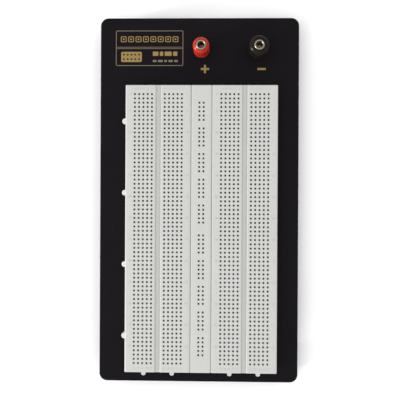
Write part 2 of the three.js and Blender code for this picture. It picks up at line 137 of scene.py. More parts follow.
COLLAR_HEIGHT = 3.0
COLLAR_BOSS = 3.9
COLLAR_BORE = 2.15
COLLAR_BOSS_ROUND = 0.2
COLLAR_FOOT_ROUND = 0.3
COLLAR_TOP_ROUND = 0.6
SEAT_GAP = 0.05  # air under a piece that rests on another
STUD = 3.0
STUD_PITCH = 1.0
STUD_FLANGE = 4.3
STUD_FLANGE_HEIGHT = 0.8
SOCKET = 2.0
SOCKET_DEPTH = 11.6
SOCKET_CONE = 0.5  # depth of the drill point below the socket
STUD_CHAMFER = 0.25
STUD_FLANGE_ROUND = 0.15
STUD_SEGMENTS = 48
WIRE_HOLE = 1.1
WIRE_HOLE_HEIGHT = 5.8
WIRE_HOLE_SEGMENTS = 20
SLIVER = 0.003  # points this close are merged after a cut
TAIL = 2.0
TAIL_PITCH = 0.7
TAIL_BORE = 2.1
THREAD_DEPTH = 0.3
THREAD_ROWS = 8  # rows of points in one pitch
KNOB_FLUTES = 20
FLUTE_DEPTH = 0.3
FLUTE_FADE = 2.5  # height over which the flutes run out below the chamfer
FLUTE_TOP = 1.0  # the highest of the rows of points along that fade, below the chamfer
FLUTE_ROWS = 4
FLUTE_WALL = 0.2  # the flutes end this far outside the cavity
KNOB_CHAMFER = 1.5
KNOB_MOUTH_ROUND = 0.1
KNOB_FOOT_ROUND = 0.35
KNOB_SHOULDER_ROUND = 0.9
KNOB_TOP_ROUND = 0.5
KNOB_MOUTH = 3.25
KNOB_CAVITY = 4.12
KNOB_CEILING = 13.4
INSERT_BORE = 3.1
INSERT_ROUND = 0.2
KNURL_RIDGES = 40
KNURL_DEPTH = 0.14
BUSH_ROUND = 0.35
WASHER_ROUND = 0.1
NUT_FLATS = 7.0
NUT_CHAMFER = 0.45
NUT_FACE = 0.97  # radius of a nut's flat end, as a share of half its width
NUT_LEAD_IN = 0.2
NUT_SEGMENTS = 96
LUG_EDGE = 0.08
LUG_EYELET = 3.6
LUG_HALF_WIDTH = 1.5
LUG_EYE = 0.9

PRINT_RISE = 0.04
PRINT_LINE = 0.42
PANEL_LEFT, PANEL_RIGHT = -50.8, -9.9
PANEL_BOTTOM, PANEL_TOP = 81.1, 102.5
PANEL_DIVIDER = 92.0
BLOCK_COUNT = 8
BLOCK_STEP = 4.5
BLOCK_SIZE = 3.5
BLOCK_INNER = 2.5
BLOCK_CORNER, BLOCK_INNER_CORNER = 0.6, 0.2
BLOCK_DOT = 0.55
SIGN_SIZE = 5.0
SIGN_STROKE = 1.25
SIGN_CORNER = 0.05
SIGN_Y = 79.2
SIGN_SHIFT = 2.0  # a sign's middle, right of its post's axis
PRINT_FLOAT = 0.005  # air under the ink
PANEL_CORNER, PANEL_INNER_CORNER = 0.9, 0.4
RULE_OFFSET = 0.42  # of the divider's two rules from its middle
RULE_WIDTH = 0.32
RULE_GAP = 0.05  # from each end of a rule to the frame
RULE_CORNER = 0.1
SYMBOL_INDENT = 3.2
SYMBOL_WIDTH, SYMBOL_HEIGHT = 12.6, 6.2
SYMBOL_CORNER = 0.8
SYMBOL_COLUMNS = 5
SYMBOL_STEP = 2.3  # between two holes in a row
SYMBOL_ROW = 1.35  # of each row of holes from the middle
DASH_INDENT = 2.0
DASH_GAP = 0.9
DASH_CORNER = 0.25
# Each row's place above the middle, its height and its dashes' lengths.
UPPER_DASHES = (1.9, 2.6, (3.4, 2.0, 4.2, 2.6))
LOWER_DASHES = (-2.5, 1.3, (2.2, 3.0, 1.6, 2.6, 2.2))

SMOOTH_ANGLE = math.radians(32)
ROUND_SEGMENTS = 72
ARC_STEPS = 10

# ---- Light and camera ----

CAMERA_PLACE = (14.8, 0.95, 471.3)
CAMERA_ROLL = -0.281  # degrees
CAMERA_PAN = -1.761
CAMERA_TILT = 0.126
CAMERA_LENS = 68.25
FLOOR_SIZE = 12.0  # metres
WORLD_STRENGTH = 0.96
# Each light's place in metres, power in watts, size in metres, and colour.
LIGHTS = {
    "key": ((-0.90, -0.30, 2.30), 10.0, 1.4, (1.0, 0.995, 0.98)),
    "fill": ((1.50, 0.60, 1.80), 5.0, 1.4, (0.98, 0.99, 1.0)),
    "edge": ((-3.00, -1.10, 0.36), 115.0, 0.5, (1.0, 1.0, 1.0)),
}

# ---- Colours, linear. A pair is the two that a surface wanders between ----

PAINT = ((0.0067, 0.0054, 0.0071), (0.0083, 0.0066, 0.0088))
PAINT_DUST = (0.06, 0.05, 0.04)
ABS = ((0.492, 0.496, 0.480), (0.523, 0.523, 0.506))
ABS_MOTTLE = (0.465, 0.469, 0.449)
RUBBER = ((0.011, 0.011, 0.011), (0.026, 0.025, 0.024))
FOAM = ((0.80, 0.78, 0.71), (0.55, 0.52, 0.45))
CONTACT = ((0.60, 0.52, 0.38), (0.50, 0.42, 0.28))
NICKEL = ((0.66, 0.63, 0.56), (0.54, 0.51, 0.44))
NICKEL_DULLED = (0.285, 0.250, 0.192)
BRASS = ((0.66, 0.47, 0.18), (0.55, 0.37, 0.13))
TIN = ((0.62, 0.62, 0.60), (0.50, 0.50, 0.49))
RED = ((0.44, 0.025, 0.010), (0.37, 0.020, 0.008))
BLACK = ((0.0135, 0.0100, 0.0080), (0.0095, 0.0070, 0.0056))
GOLD_INK = ((0.22, 0.145, 0.042), (0.31, 0.200, 0.056))
PALE_INK = ((0.130, 0.107, 0.066), (0.185, 0.155, 0.095))
PAPER = ((0.96, 0.96, 0.96), (0.98, 0.98, 0.98))


def box_mm(node):
    """Lowest and highest corner of a CAD node, in millimetres."""
    low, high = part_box(node)
    return low / MM, high / MM


def half_width(node):
    low, high = box_mm(node)
    return (high.x - low.x) / 2


def spread(count, step):
    """Evenly spaced places about 0."""
    return [(i - (count - 1) / 2) * step for i in range(count)]


PLATE_LOW, PLATE_HIGH = box_mm("base_plate")
PLATE_TOP = PLATE_HIGH.z
ROWS = spread(TERMINAL_ROWS, PITCH)

# ---- Materials ----


class Surface:
    """A material in the making: its tree, its shader and the object's own coordinates."""

    def __init__(self, name, metallic=0.0, specular=0.5):
        self.material = bpy.data.materials.new(name)
        self.material.use_nodes = True
        self.tree = self.material.node_tree
        self.shader = self.tree.nodes["Principled BSDF"]
        self.shader.inputs["Metallic"].default_value = metallic
        self.shader.inputs["Specular IOR Level"].default_value = specular
        self.place = self.add("ShaderNodeTexCoord").outputs["Object"]

    def feed(self, socket, value):
        """Gives a socket a value or another node's output."""
        if isinstance(value, bpy.types.NodeSocket):
            self.tree.links.new(value, socket)
        else:
            socket.default_value = value

    def add(self, kind, **values):
        """A node with the given inputs and settings."""
        node = self.tree.nodes.new(kind)
        for name, value in values.items():
            if name in node.inputs:
                self.feed(node.inputs[name], value)
            else:
                setattr(node, name, value)
        return node

    def noise(self, scale, detail=3.0, roughness=0.55, vector=None):
        vector = vector or self.place
        kind = "ShaderNodeTexNoise"
        return self.add(kind, Vector=vector, Scale=scale, Detail=detail, Roughness=roughness).outputs["Fac"]

    def remap(self, value, start, end, low=0.0, high=1.0):
        """`low` where the value is at `start`, up to `high` where it is at `end`."""
        ranges = {"From Min": start, "From Max": end, "To Min": low, "To Max": high}
        return self.add("ShaderNodeMapRange", Value=value, **ranges).outputs["Result"]

    def mix(self, factor, first, second):
        """A colour between two: each is a colour or another node's output."""
        node = self.add("ShaderNodeMix", data_type="RGBA")
        self.feed(node.inputs[0], factor)
        for socket, colour in ((node.inputs[6], first), (node.inputs[7], second)):
            self.feed(socket, (*colour, 1.0) if isinstance(colour, tuple) else colour)
        return node.outputs[2]

    def set_colour(self, *mixture):
        self.feed(self.shader.inputs["Base Color"], self.mix(*mixture))

    def set_roughness(self, value, start, end, low, high):
        self.feed(self.shader.inputs["Roughness"], self.remap(value, start, end, low, high))

    def set_grain(self, height, depth):
        """Bump of `depth` metres from a height between 0 and 1."""
        bump = self.add("ShaderNodeBump", Distance=depth, Strength=1.0, Height=height)
        self.feed(self.shader.inputs["Normal"], bump.outputs["Normal"])


def plate_paint():
    """Satin black paint: orange peel, faint scuffs and a few specks of dust."""
    paint = Surface("plate_paint", specular=0.04)
    specks = paint.remap(paint.noise(900.0, 1.0), 0.76, 0.80, 0.0, 0.35)
    paint.set_colour(specks, paint.mix(paint.noise(45.0), *PAINT), PAINT_DUST)
    scuffs = paint.noise(130.0, 6.0, 0.7)
    paint.set_roughness(scuffs, 0.35, 0.7, 0.42, 0.56)
    paint.set_grain(paint.noise(1500.0, 2.0), 0.000012)
    return paint


def white_abs():
    """Fine satin moulded ABS, slightly warmer in broad clouds."""
    plastic = Surface("white_abs", specular=0.5)
    mottle = plastic.remap(plastic.noise(420.0), 0.35, 0.7, 0.0, 0.3)
    plastic.set_colour(mottle, plastic.mix(plastic.noise(35.0, 2.0), *ABS), ABS_MOTTLE)
    plastic.set_roughness(plastic.noise(160.0, 4.0), 0.3, 0.7, 0.28, 0.38)
    plastic.set_grain(plastic.noise(2600.0, 2.0), 0.000010)
    return plastic


def rubber():
    """Matt black rubber with a dusty bloom."""
    surface = Surface("rubber", specular=0.3)
    bloom = surface.noise(220.0, 5.0)
    surface.set_colour(bloom, *RUBBER)
    surface.set_roughness(bloom, 0.3, 0.7, 0.72, 0.92)
    surface.set_grain(surface.noise(1800.0), 0.00003)
    return surface


def foam_tape():
    """White foam with open cells, each cell painted darker towards its middle: painted shade in the cells'
    hollows.
    """
    foam = Surface("foam_tape", specular=0.2)
    cells = foam.add("ShaderNodeTexVoronoi", Vector=foam.place, Scale=2600.0)
    depth = foam.remap(cells.outputs["Distance"], 0.0, 0.7, 1.0, 0.0)
    # Painted shade: the colour darkens with depth towards each cell's middle; depth also sets the roughness
    # and the bump.
    foam.set_colour(depth, *FOAM)
    foam.set_roughness(depth, 0.0, 1.0, 0.85, 0.97)
    foam.set_grain(depth, 0.00012)
    return foam


def cloudy_metal(name, colours, rough, *cloud):
    """Metal whose colour and roughness wander in clouds."""
    metal = Surface(name, metallic=1.0)
    patches = metal.noise(*cloud)
    metal.set_colour(metal.remap(patches, 0.3, 0.7), *colours)
    metal.set_roughness(patches, 0.3, 0.7, *rough)
    return metal


def turned_metal(name, colours, *rough):
    """Plated or plain metal with turning marks about Z and dull patches."""
    metal = cloudy_metal(name, colours, rough, 260.0, 5.0, 0.65)
    marks = {"Vector": metal.place, "Scale": 1400.0, "Distortion": 1.5}
    rings = metal.add("ShaderNodeTexWave", wave_type="RINGS", rings_direction="Z", **marks)
    metal.set_grain(rings.outputs["Fac"], 0.000004)
    return metal


def nickel_plate():
    """Nickel that is dull and brownish on a post's stud above the plate, where it is handled."""
    metal = turned_metal("nickel", NICKEL, 0.36, 0.52)
    parts = metal.add("ShaderNodeSeparateXYZ", Vector=metal.place)
    above = metal.remap(parts.outputs["Z"], 0.0, COLLAR_HEIGHT * MM)
    clean = metal.shader.inputs["Base Color"].links[0].from_socket
    metal.set_colour(above, clean, NICKEL_DULLED)
    return metal


def rolled_metal(name, colours, *rough):
    """Sheet metal with fine rolling lines along Y and cloudy plating."""
    metal = cloudy_metal(name, colours, rough, 300.0, 4.0)
    stretch = metal.add("ShaderNodeMapping", Vector=metal.place, Scale=(3000.0, 150.0, 3000.0))
    metal.set_grain(metal.noise(1.0, 2.0, vector=stretch.outputs["Vector"]), 0.000008)
    return metal


def moulded_plastic(name, colours, specular):
    """Glossy moulded plastic with faint flow clouds and fingerprints."""
    plastic = Surface(name, specular=specular)
    cloud = plastic.noise(180.0)
    plastic.set_colour(plastic.remap(cloud, 0.3, 0.7), *colours)
    prints = plastic.noise(520.0, 6.0, 0.7)
    plastic.set_roughness(prints, 0.35, 0.7, 0.22, 0.36)
    plastic.set_grain(plastic.noise(1400.0, 2.0), 0.00001)
    return plastic


def printing_ink(name, colours):
    """Screen-printed ink, slightly uneven in cover."""
    ink = Surface(name, metallic=0.25, specular=0.4)
    cover = ink.noise(1600.0, 4.0)
    ink.set_colour(ink.remap(cover, 0.35, 0.65), *colours)
    ink.set_roughness(cover, 0.3, 0.7, 0.38, 0.55)
    ink.set_grain(cover, 0.000008)
    return ink


def floor_paper():
    """Plain pale paper."""
    paper = Surface("floor_paper", specular=0.1)
    paper.set_colour(paper.noise(3.0), *PAPER)
    paper.shader.inputs["Roughness"].default_value = 0.9
    paper.set_grain(paper.noise(900.0), 0.00001)
    return paper


FINISHES = {
    "plate_paint": plate_paint(),
    "rubber": rubber(),
    "white_abs": white_abs(),
    "foam_tape": foam_tape(),
    "spring_contact": rolled_metal("spring_contact", CONTACT, 0.28, 0.42),
    "nickel": nickel_plate(),
    "brass": turned_metal("brass", BRASS, 0.25, 0.40),
    "tinned_lug": rolled_metal("tinned_lug", TIN, 0.32, 0.50),
    "red_plastic": moulded_plastic("red_plastic", RED, 0.10),
    "black_plastic": moulded_plastic("black_plastic", BLACK, 0.07),
}
GOLD = printing_ink("gold_ink", GOLD_INK)
PALE_GOLD = printing_ink("pale_gold_ink", PALE_INK)

# ---- Objects ----


def new_mesh(points, faces):
    mesh = bpy.data.meshes.new("shape")
    mesh.from_pydata([tuple(p) for p in points], [], faces)
    return mesh


def link(name, data):
    """A new object with this data, in the scene."""
    made = bpy.data.objects.new(name, data)
    bpy.context.scene.collection.objects.link(made)
    return made


def add_piece(name, mesh, surface, body, origin=(0, 0, 0)):
    """A mesh in millimetres as a piece that rides on `body`, with its own origin."""
    mesh.name = name
    mesh.transform(Matrix.Scale(MM, 4))
    mesh.materials.clear()
    mesh.materials.append(surface.material)
    mesh.shade_smooth()
    mesh.set_sharp_from_angle(angle=SMOOTH_ANGLE)
    piece = link(name, mesh)
    piece.location = Vector(origin) * MM
    normals = piece.modifiers.new("flat_stays_flat", "WEIGHTED_NORMAL")
    normals.keep_sharp = True
    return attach(piece, body)


def stand_for(node, mesh, slot, origin=(0, 0, 0)):
    """The fine piece that is shown in place of a CAD node."""
    body = frame["nodes"][node]["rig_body"]
    piece = add_piece(f"{node}_detail", mesh, FINISHES[slot], body, origin)
    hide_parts(node)
    return piece


def arc(x, y, radius, start, end, steps=ARC_STEPS):
    """Points on an arc, with its angles in quarter turns."""
    turns = np.linspace(start, end, steps + 1) * math.pi / 2
    return [(x + radius * math.cos(t), y + radius * math.sin(t)) for t in turns]


def circle(x, y, radius, steps=4 * ARC_STEPS):
    return arc(x, y, radius, 0, 4, steps)[:-1]


def rounded_rectangle(low, high, radius, steps=ARC_STEPS):
    (x0, y0), (x1, y1) = low, high
    corners = ((x1, y1, -1, -1), (x0, y1, 1, -1), (x0, y0, 1, 1), (x1, y0, -1, 1))
    points = []
    for quarter, (x, y, inward_x, inward_y) in enumerate(corners):
        points += arc(x + inward_x * radius, y + inward_y * radius, radius, quarter, quarter + 1, steps)
    return points


def merge_points(mesh, distance=1e-4):
    """Merges points this close, if any, and turns every face outwards."""
    work = bmesh.new()
    work.from_mesh(mesh)
    if distance:
        bmesh.ops.remove_doubles(work, verts=work.verts, dist=distance)
    bmesh.ops.recalc_face_normals(work, faces=work.faces)
    work.to_mesh(mesh)
    work.free()
    return mesh


def mesh_of(curve):
    """The mesh that fills a curve or a text."""
    holder = bpy.data.objects.new("holder", curve)
    mesh = bpy.data.meshes.new_from_object(holder)
    bpy.data.objects.remove(holder)
    return merge_points(mesh)


def slab(outlines, bottom, top, edge=0.0):
    """A flat sheet inside the outlines, holes included, with its edges rounded by `edge`."""
    curve = bpy.data.curves.new("outline", "CURVE")
    curve.dimensions = "2D"
    curve.fill_mode = "BOTH"
    curve.extrude = (top - bottom) / 2 - edge
    curve.bevel_depth = edge
    curve.bevel_resolution = 2
    curve.offset = -edge
    for outline in outlines:
        spline = curve.splines.new("POLY")
        spline.points.add(len(outline) - 1)
        for point, (x, y) in zip(spline.points, outline):
            point.co = (x, y, 0, 1)
        spline.use_cyclic_u = True
    mesh = mesh_of(curve)
    mesh.transform(Matrix.Translation((0, 0, (bottom + top) / 2)))
    return mesh


def softened(points, closed):
    """A profile of (radius, height) points. Where a third number follows, the corner is rounded
    from that far off."""
    made = []
    for i, point in enumerate(points):
        corner = Vector(point[:2])
        soft = point[2] if len(point) > 2 else 0
        if not soft or not closed and i in (0, len(points) - 1):
            made.append(tuple(corner))
            continue
        before = Vector(points[i - 1][:2])
        after = Vector(points[(i + 1) % len(points)][:2])
        start = corner + (before - corner).normalized() * soft
        end = corner + (after - corner).normalized() * soft
        for step in np.linspace(0, 1, 5):
            made.append(tuple(start.lerp(corner, step).lerp(corner.lerp(end, step), step)))
    return made


def spun(profile, segments=ROUND_SEGMENTS, closed=True, radius_at=None):
    """A profile turned about Z. A closed one makes a ring; an open one starts and ends on the axis.
    `radius_at` may change the radius at a height and an angle."""
    points, rows, faces = [], [], []
    for radius, height in profile:
        row = []
        for i in range(segments if radius > 0 else 1):
            angle = 2 * math.pi * i / segments
            here = radius_at(radius, height, angle) if radius_at and radius > 0 else radius
            row.append(len(points))
            points.append((here * math.cos(angle), here * math.sin(angle), height))
        rows.append(row)
    pairs = list(zip(rows, rows[1:]))
    if closed:
        pairs.append((rows[-1], rows[0]))
    for lower, upper in pairs:
        for i in range(segments):
            j = (i + 1) % segments
            corners = [lower[i % len(lower)], lower[j % len(lower)]]
            corners += [upper[j % len(upper)], upper[i % len(upper)]]
            faces.append(tuple(dict.fromkeys(corners)))
    return new_mesh(points, faces)


def straight(radius, bottom, top, count):
    """Evenly spaced profile points up a cylinder."""
    return [(radius, z) for z in np.linspace(bottom, top, count)]


def saw(turns):
    """0 at a crest and 1 halfway between two crests."""
    return 1 - abs(2 * (turns % 1) - 1)


def joined(shapes):
    """Several (points, faces) shapes as one."""
    points, faces = [], []
    for shape_points, shape_faces in shapes:
        start = len(points)
        points += shape_points
        faces += [tuple(start + i for i in face) for face in shape_faces]
    return points, faces


def moved(shape, x, y):
    points, faces = shape
    return [(px + x, py + y, z) for px, py, z in points], faces


# ---- Strips ----


class Lattice:
    """A block cut into cells by lines across X, Y and Z, some of them carved out, and its skin."""

    def __init__(self, xs, ys, zs):
        self.lines = [np.unique(np.round(line, 4)) for line in (xs, ys, zs)]
        self.full = np.ones([len(line) - 1 for line in self.lines], bool)

    def span(self, axis, low, high):
        """The cells between the lines nearest to two places."""
        line = self.lines[axis]
        return slice(np.abs(line - low).argmin(), np.abs(line - high).argmin())

    def fill(self, low, high, solid):
        self.full[tuple(self.span(a, low[a], high[a]) for a in range(3))] = solid

    def skin(self):
        """The surface's points, on the lines, and its faces."""
        shape = [len(line) for line in self.lines]
        index = np.arange(np.prod(shape)).reshape(shape)
        padded = np.pad(self.full, 1)
        faces = []
        for axis in range(3):
            for side in (0, 1):
                neighbour = np.roll(padded, 1 - 2 * side, axis)[1:-1, 1:-1, 1:-1]
                cells = np.argwhere(self.full & ~neighbour)
                faces.append(self.cell_faces(index, cells, axis, side))
        faces = np.concatenate(faces)
        used, renumbered = np.unique(faces, return_inverse=True)
        places = np.stack(np.unravel_index(used, shape), 1)
        points = np.stack([self.lines[a][places[:, a]] for a in range(3)], 1)
        return points, renumbered.reshape(-1, 4)

    @staticmethod
    def cell_faces(index, cells, axis, side):
        """The quads on one side of the given cells, facing out."""
        order = [axis, (axis + 1) % 3, (axis + 2) % 3]
        corners = []
        for steps in ((0, 0), (1, 0), (1, 1), (0, 1)):
            corner = cells.copy()
            corner[:, order] += (side, *steps)
            corners.append(index[tuple(corner.T)])
        if side == 0:
            corners.reverse()
        return np.stack(corners, 1)


def tab_places(half_y, end_tabs):
    """(axis the tab points along, its middle, width, reach, corner radius) of each tab."""
    step = 2 * half_y / SIDE_TAB_COUNT
    middles = [(i + 0.5) * step - half_y for i in range(SIDE_TAB_COUNT)]
    tabs = [(0, y, SIDE_TAB_WIDTH, SIDE_TAB_REACH, SIDE_TAB_CORNER) for y in middles]
    ends = [(1, x, END_TAB_WIDTH, END_TAB_REACH, END_TAB_CORNER) for x in (-END_TAB_OFFSET, END_TAB_OFFSET)]
    return tabs + ends if end_tabs else tabs


def strip_place(node):
    """The block of a strip without its tabs: its centre, half sizes and height, and its tabs."""
    end_tabs = node != "bus_strip"
    low, high = box_mm(node)
    left = low.x + SIDE_TAB_REACH
    front = low.y + (END_TAB_REACH if end_tabs else 0)
    half = ((high.x - left) / 2, (high.y - front) / 2)
    return {
        "centre": ((left + high.x) / 2, (front + high.y) / 2, low.z),
        "half": half,
        "height": high.z - low.z,
        "tabs": tab_places(half[1], end_tabs),
    }


def terminal_columns():
    inner = TRENCH_COLUMNS * PITCH / 2
    right = [inner + i * PITCH for i in range(BANK_COLUMNS)]
    return [-x for x in reversed(right)] + right


def bank_centres():
    middle = TRENCH_COLUMNS * PITCH / 2 + (BANK_COLUMNS - 1) / 2 * PITCH
    return {"a_e": -middle, "f_j": middle}


def bus_rows():
    """The bus strip's ten groups of five, with one extra pitch in the middle."""
    rows = []
    for group in range(BUS_GROUPS):
        start = BUS_FIRST_ROW + group * BUS_GROUP_STEP + (group >= BUS_GROUPS / 2)
        rows += ROWS[start : start + BUS_GROUP_SIZE]
    return rows


def round_off(points, axis_a, axis_b, centre_a, centre_b, where):
    """Bends the square beyond a centre into a quarter disc, so that a corner becomes an arc."""
    a = points[:, axis_a] - centre_a
    b = points[:, axis_b] - centre_b
    far = np.hypot(a, b)
    ratio = np.maximum(np.abs(a), np.abs(b)) / np.where(far > 0, far, 1)
    inside = where & (far > 0)
    points[inside, axis_a] = (centre_a + a * ratio)[inside]
    points[inside, axis_b] = (centre_b + b * ratio)[inside]


def tab_lines(axis, half, places):
    """Lines across one axis for the tabs and slots: along their reach, or along their width."""
    lines = []
    for tab_axis, middle, width, reach, corner in places:
        if tab_axis == axis:
            lines += [corner * step - half - reach for step in TAB_STEPS]
            lines.append(half - reach - TAB_CLEARANCE)
        else:
            lines += [middle + side * (width / 2 - corner * step) for side in (-1, 1) for step in TAB_STEPS]
    return lines


def strip_lines(place, columns, rows):
    """Lines across X, Y and Z for the block's edges, its tie points and its tabs."""
    lines = []
    for axis, centres in enumerate((columns, rows)):
        half = place["half"][axis]
        line = [side * (half - inset) for side in (-1, 1) for inset in (0, EDGE_STEP, EDGE_ROUND)]
        line += [centre + side * HOLE / 2 for centre in centres for side in (-1, 1)]
        # A tab's line may not run between a shaft and the rim of its funnel.
        for x in tab_lines(axis, half, place["tabs"]):
            if not any(HOLE / 2 < abs(x - centre) < FUNNEL / 2 for centre in centres):
                line.append(x)
        lines.append(line)
    height = place["height"]
    return *lines, [0, TAB_HEIGHT, height - ROOF, height - EDGE_ROUND, height - EDGE_STEP, height]


def tab_box(axis, start, end, middle, width):
    """As high as a tab, from `start` to `end` along one axis and `width` across the other."""
    low, high = [0, 0, 0], [0, 0, TAB_HEIGHT]
    low[axis], high[axis] = start, end
    low[1 - axis], high[1 - axis] = middle - width / 2, middle + width / 2
    return low, high


def cut_tabs_and_slots(lattice, place):
    """Empties the block's surroundings but for its tabs, and the slots for a neighbour's tabs."""
    half = place["half"]
    for axis in (0, 1):
        low = [-FAR, -FAR, 0]
        high = [FAR, FAR, place["height"]]
        high[axis] = -half[axis]
        lattice.fill(low, high, False)
    for axis, middle, width, reach, _ in place["tabs"]:
        edge = half[axis]
        lattice.fill(*tab_box(axis, -edge - reach, -edge, middle, width), True)
        lattice.fill(*tab_box(axis, edge - reach - TAB_CLEARANCE, edge, middle, width), False)


def shape_tabs_and_slots(points, flat, lattice, place):
    """Widens the slots by their clearance, and gives the tabs their round corners."""
    half = place["half"]
    low_enough = flat[:, 2] <= TAB_HEIGHT + TOUCH
    for axis, middle, width, reach, corner in place["tabs"]:
        across = 1 - axis
        near = np.abs(flat[:, across] - middle) < width
        tab = near & low_enough & (flat[:, axis] <= -half[axis] + TOUCH)
        slot = near & low_enough & (flat[:, axis] >= half[axis] - reach - TAB_CLEARANCE - TOUCH)
        line = lattice.lines[across]
        for side in (-1, 1):
            edge = middle + side * width / 2
            on_edge = np.isclose(points[:, across], line[np.abs(line - edge).argmin()])
            points[slot & on_edge, across] = edge + side * TAB_CLEARANCE
            centre_axis = corner - half[axis] - reach
            centre_across = middle + side * (width / 2 - corner)
            beyond = (points[:, axis] < centre_axis) & (side * (points[:, across] - centre_across) > 0)
            round_off(points, axis, across, centre_axis, centre_across, tab & beyond)
        top = tab & np.isclose(flat[:, 2], TAB_HEIGHT)
        points[top, 2] -= TAB_DROP * ((points[top, axis] + half[axis]) / reach) ** 2


def shape_funnels(points, flat, columns, rows, height):
    """Widens the top of each square shaft."""
    near = flat[:, :2].copy()
    for axis, centres in enumerate((columns, rows)):
        grid = np.array(centres)
        near[:, axis] = grid[np.abs(flat[:, axis, None] - grid).argmin(1)]
    off = flat[:, :2] - near
    rim = np.isclose(np.abs(off).max(1), HOLE / 2, atol=TOUCH) & np.isclose(flat[:, 2], height)
    points[rim, :2] = near[rim] + off[rim] * FUNNEL / HOLE


def shape_edges(points, flat, place):
    """Softens the block's upright corners and rounds its four upper edges."""
    half = np.array(place["half"])
    upper = place["height"] - EDGE_ROUND
    sides = np.where(flat[:, :2] > 0, 1, -1)
    out = sides * flat[:, :2]
    corners = ((out > half - EDGE_STEP) & (out <= half + TOUCH)).all(1)
    round_off(points, 0, 1, *(sides * (half - EDGE_STEP)).T, corners)
    for axis in (0, 1):
        centre = half[axis] - EDGE_ROUND
        beyond = (np.abs(points[:, axis]) > centre) & (points[:, 2] > upper)
        round_off(points, axis, 2, sides[:, axis] * centre, upper, beyond)


def shape_trench(points, flat, height):
    """Rounds the two lips of the centre trench."""
    half = TRENCH_FLOOR / 2
    for side in (-1, 1):
        wall = np.isclose(flat[:, 0], side * half)
        for line, turn in ((EDGE_ROUND, 0), (EDGE_STEP, math.pi / 6), (0, math.pi / 3)):
            row = wall & np.isclose(flat[:, 2], height - line)
            points[row, 0] = side * (half + TRENCH_LIP * (1 - math.cos(turn)))
            points[row, 2] = height - TRENCH_LIP * (1 - math.sin(turn))


def strip(node, columns, rows, pockets, trench=0.0):
    """A strip open below at its pockets, each a pair of corners, and cut by a trench of half width
    `trench`, if any."""
    place = strip_place(node)
    height, end = place["height"], place["half"][1]
    xs, ys, zs = strip_lines(place, columns, rows)
    for (x0, y0), (x1, y1) in pockets:
        xs += [x0, x1]
        ys += [y0, y1]
    if trench:
        xs += [side * x for side in (-1, 1) for x in (trench, trench + TRENCH_LIP)]
        zs.append(height - TRENCH_DEPTH)
    lattice = Lattice(xs, ys, zs)
    cut_tabs_and_slots(lattice, place)
    for low, high in pockets:
        lattice.fill((*low, 0), (*high, height - ROOF), False)
    side = HOLE / 2
    for x in columns:
        for y in rows:
            lattice.fill((x - side, y - side, height - ROOF), (x + side, y + side, height), False)
    if trench:
        lattice.fill((-trench, -end, height - TRENCH_DEPTH), (trench, end, height), False)
    flat, faces = lattice.skin()
    points = flat.copy()
    shape_tabs_and_slots(points, flat, lattice, place)
    shape_funnels(points, flat, columns, rows, height)
    if trench:
        shape_trench(points, flat, height)
    shape_edges(points, flat, place)
    stand_for(node, new_mesh(points, faces.tolist()), "white_abs", place["centre"])


def terminal_strip(side):
    """One slot for a clip lies under each row of five tie points."""
    node = f"terminal_strip_{side}"
    half_x, half_y = BANK_COLUMNS * PITCH / 2, SLOT_WIDTH / 2
    slots = []
    for x in bank_centres().values():
        slots += [((x - half_x, y - half_y), (x + half_x, y + half_y)) for y in ROWS]
    strip(node, terminal_columns(), ROWS, slots, TRENCH_FLOOR / 2)
    grid_marks(side, strip_place(node))


def rail_nodes():
    """Each rail's CAD node, and whether it is the upper of its column's two."""
    return {f"bus_rail_{c}_{h}": h == "upper" for c in ("left", "right") for h in ("lower", "upper")}


def bus_strip():
    centre = Vector(strip_place("bus_strip")["centre"]).to_2d()
    margin = Vector((TAB_CLEARANCE, TAB_CLEARANCE))
    pockets = []
    for node in rail_nodes():
        low, high = box_mm(node)
        pockets.append((low.to_2d() - centre - margin, high.to_2d() - centre + margin))
    strip("bus_strip", [-PITCH / 2, PITCH / 2], bus_rows(), pockets)


# ---- Moulded grid marks, as on any such strip ----


@cache
def glyphs(text):
    """Raised characters centred on the origin, as (points, faces)."""
    curve = bpy.data.curves.new("glyphs", "FONT")
    curve.body = text
    curve.size = MARK_SIZE
    curve.extrude = MARK_RISE
    curve.align_x = "CENTER"
    curve.align_y = "CENTER"
    curve.resolution_u = 3
    mesh = mesh_of(curve)
    return [tuple(v.co) for v in mesh.vertices], [tuple(p.vertices) for p in mesh.polygons]


def grid_marks(side, place):
    shapes = []
    for first, sign in (("A", -1), ("F", 1)):
        columns = [x for x in terminal_columns() if x * sign > 0]
        for i, x in enumerate(columns):
            letter = chr(ord(first) + i)
            shapes += [moved(glyphs(letter), x, end * MARK_OFFSET_Y) for end in (-1, 1)]
        for number in [1] + list(range(MARK_STEP, TERMINAL_ROWS + 1, MARK_STEP)):
            shapes.append(moved(glyphs(str(number)), sign * MARK_OFFSET_X, ROWS[-number]))
    x, y, z = place["centre"]
    origin = (x, y, z + place["height"])
    mesh = new_mesh(*joined(shapes))
    marks = add_piece(f"grid_marks_{side}", mesh, FINISHES["white_abs"], "board", origin)


# ---- Contacts ----


def block(x0, x1, y0, y1, z0, z1):
    points = [(x, y, z) for x in (x0, x1) for y in (y0, y1) for z in (z0, z1)]
    faces = [(0, 1, 3, 2), (4, 6, 7, 5), (0, 4, 5, 1), (2, 3, 7, 6), (0, 2, 6, 4), (1, 5, 7, 3)]
    return points, faces


